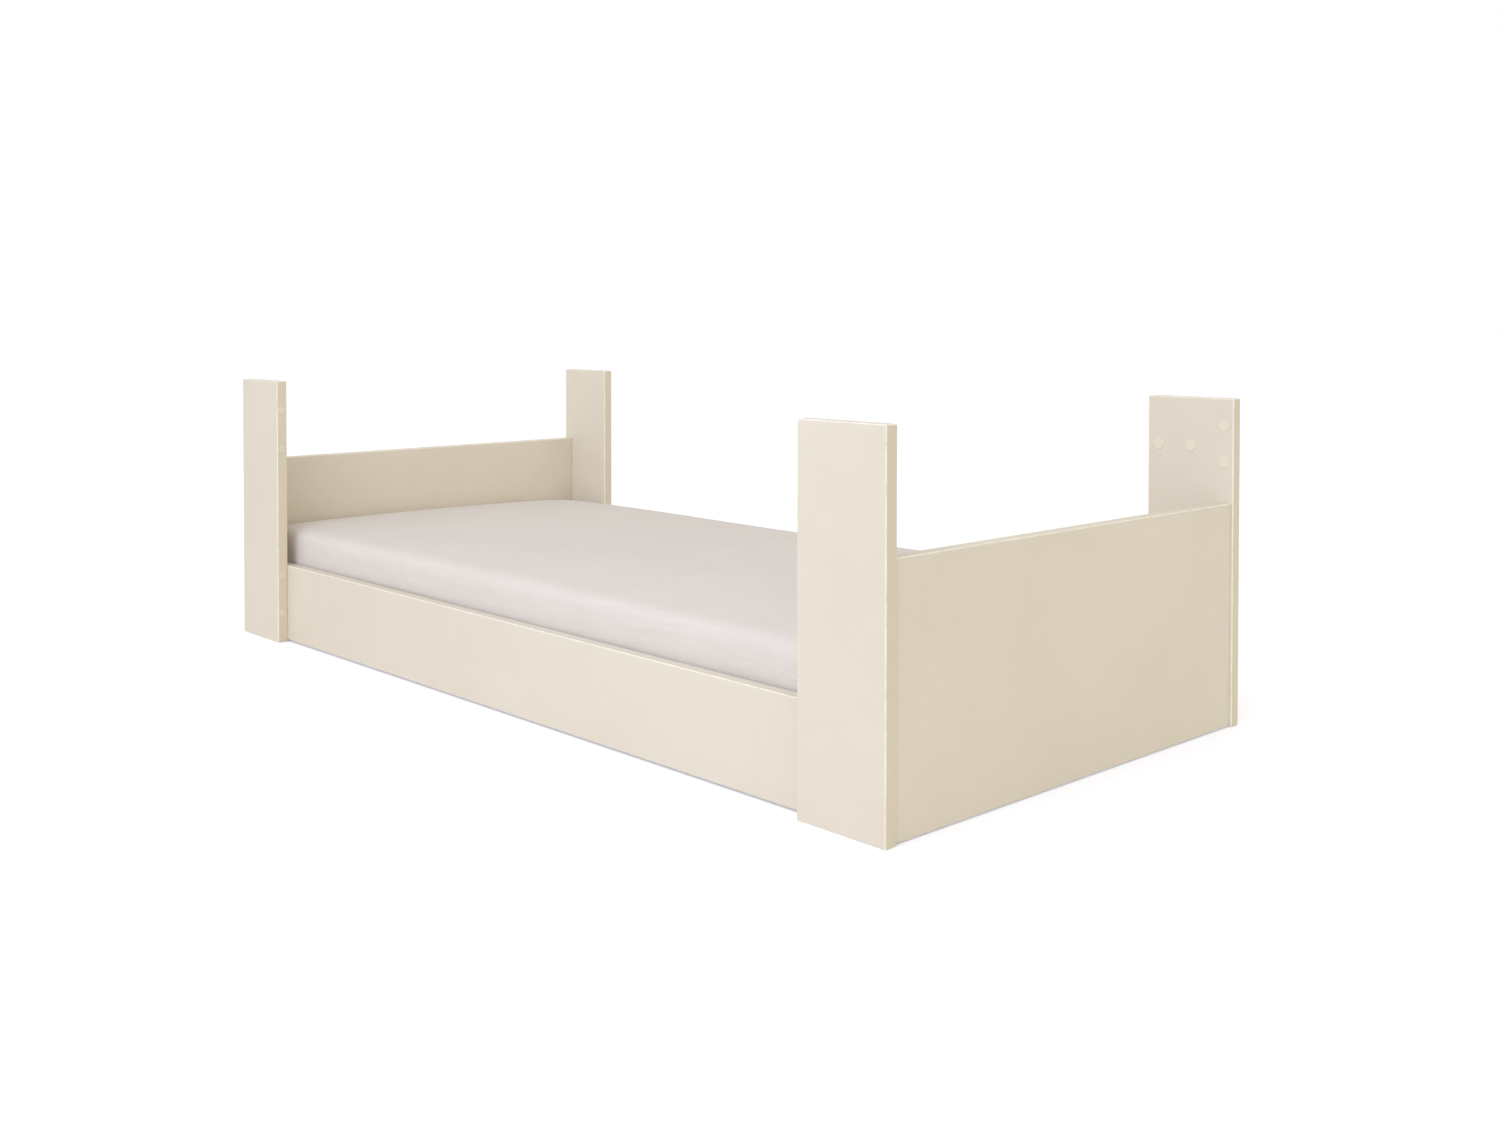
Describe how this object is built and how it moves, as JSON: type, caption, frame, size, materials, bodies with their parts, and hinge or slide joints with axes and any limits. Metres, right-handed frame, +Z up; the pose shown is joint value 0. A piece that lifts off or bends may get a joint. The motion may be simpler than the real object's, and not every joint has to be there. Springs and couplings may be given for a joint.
{
  "type": "toddler bed",
  "caption": "Low single bed of cream lacquered boards with tall board posts above its rails and end panels, a slatted base and a mattress in a fitted sheet.",
  "frame": {"origin": "on the floor, under the middle of the bed", "axes": "+X along the bed towards its foot, +Y across it towards the rear, +Z up"},
  "size_m": [2.07, 1.006, 0.618],
  "materials": {
    "cream_lacquer": "smooth satin cream lacquer on fibreboard",
    "cream_cap": "moulded cream plastic",
    "bare_pine": "planed pine with no finish",
    "beech_dowel": "turned beech",
    "zinc_steel": "bright zinc plate",
    "zinc_casting": "die-cast zinc",
    "webbing": "woven natural webbing",
    "mattress_ticking": "knitted ticking over foam",
    "sheet_cotton": "smooth woven cotton, pale warm grey"
  },
  "bodies": {
    "frame": {"post_foot_front": "cream_lacquer", "post_foot_rear": "cream_lacquer", "post_head_front": "cream_lacquer", "post_head_rear": "cream_lacquer", "foot_panel": "cream_lacquer", "head_panel": "cream_lacquer", "front_rail": "cream_lacquer", "rear_rail": "cream_lacquer", "front_ledger": "bare_pine", "rear_ledger": "bare_pine", "foot_dowels": "beech_dowel", "head_dowels": "beech_dowel", "ledger_screws": "zinc_steel", "front_rail_bolts": "zinc_steel", "rear_rail_bolts": "zinc_steel", "foot_cam_bolts": "zinc_steel", "head_cam_bolts": "zinc_steel", "foot_threaded_inserts": "zinc_steel", "head_threaded_inserts": "zinc_steel", "foot_cam_locks": "zinc_casting", "head_cam_locks": "zinc_casting", "cover_caps_foot_front": "cream_cap", "cover_caps_foot_rear": "cream_cap", "edge_caps_foot_front": "cream_cap", "edge_caps_head_front": "cream_cap"},
    "slat_base": {"slat_01": "bare_pine", "slat_02": "bare_pine", "slat_03": "bare_pine", "slat_04": "bare_pine", "slat_05": "bare_pine", "slat_06": "bare_pine", "slat_07": "bare_pine", "slat_08": "bare_pine", "slat_09": "bare_pine", "slat_10": "bare_pine", "slat_11": "bare_pine", "slat_12": "bare_pine", "slat_13": "bare_pine", "slat_14": "bare_pine", "slat_15": "bare_pine", "slat_16": "bare_pine", "front_strap": "webbing", "rear_strap": "webbing", "strap_staples": "zinc_steel"},
    "mattress": {"mattress_core": "mattress_ticking", "fitted_sheet": "sheet_cotton"}
  },
  "joints": [
    {"name": "slat_base_lift", "type": "slide", "parent": "frame", "child": "slat_base", "axis": [0, 0, 1], "range_m": [0, 0.52]},
    {"name": "mattress_lift", "type": "slide", "parent": "slat_base", "child": "mattress", "axis": [0, 0, 1], "range_m": [0, 0.52]}
  ]
}
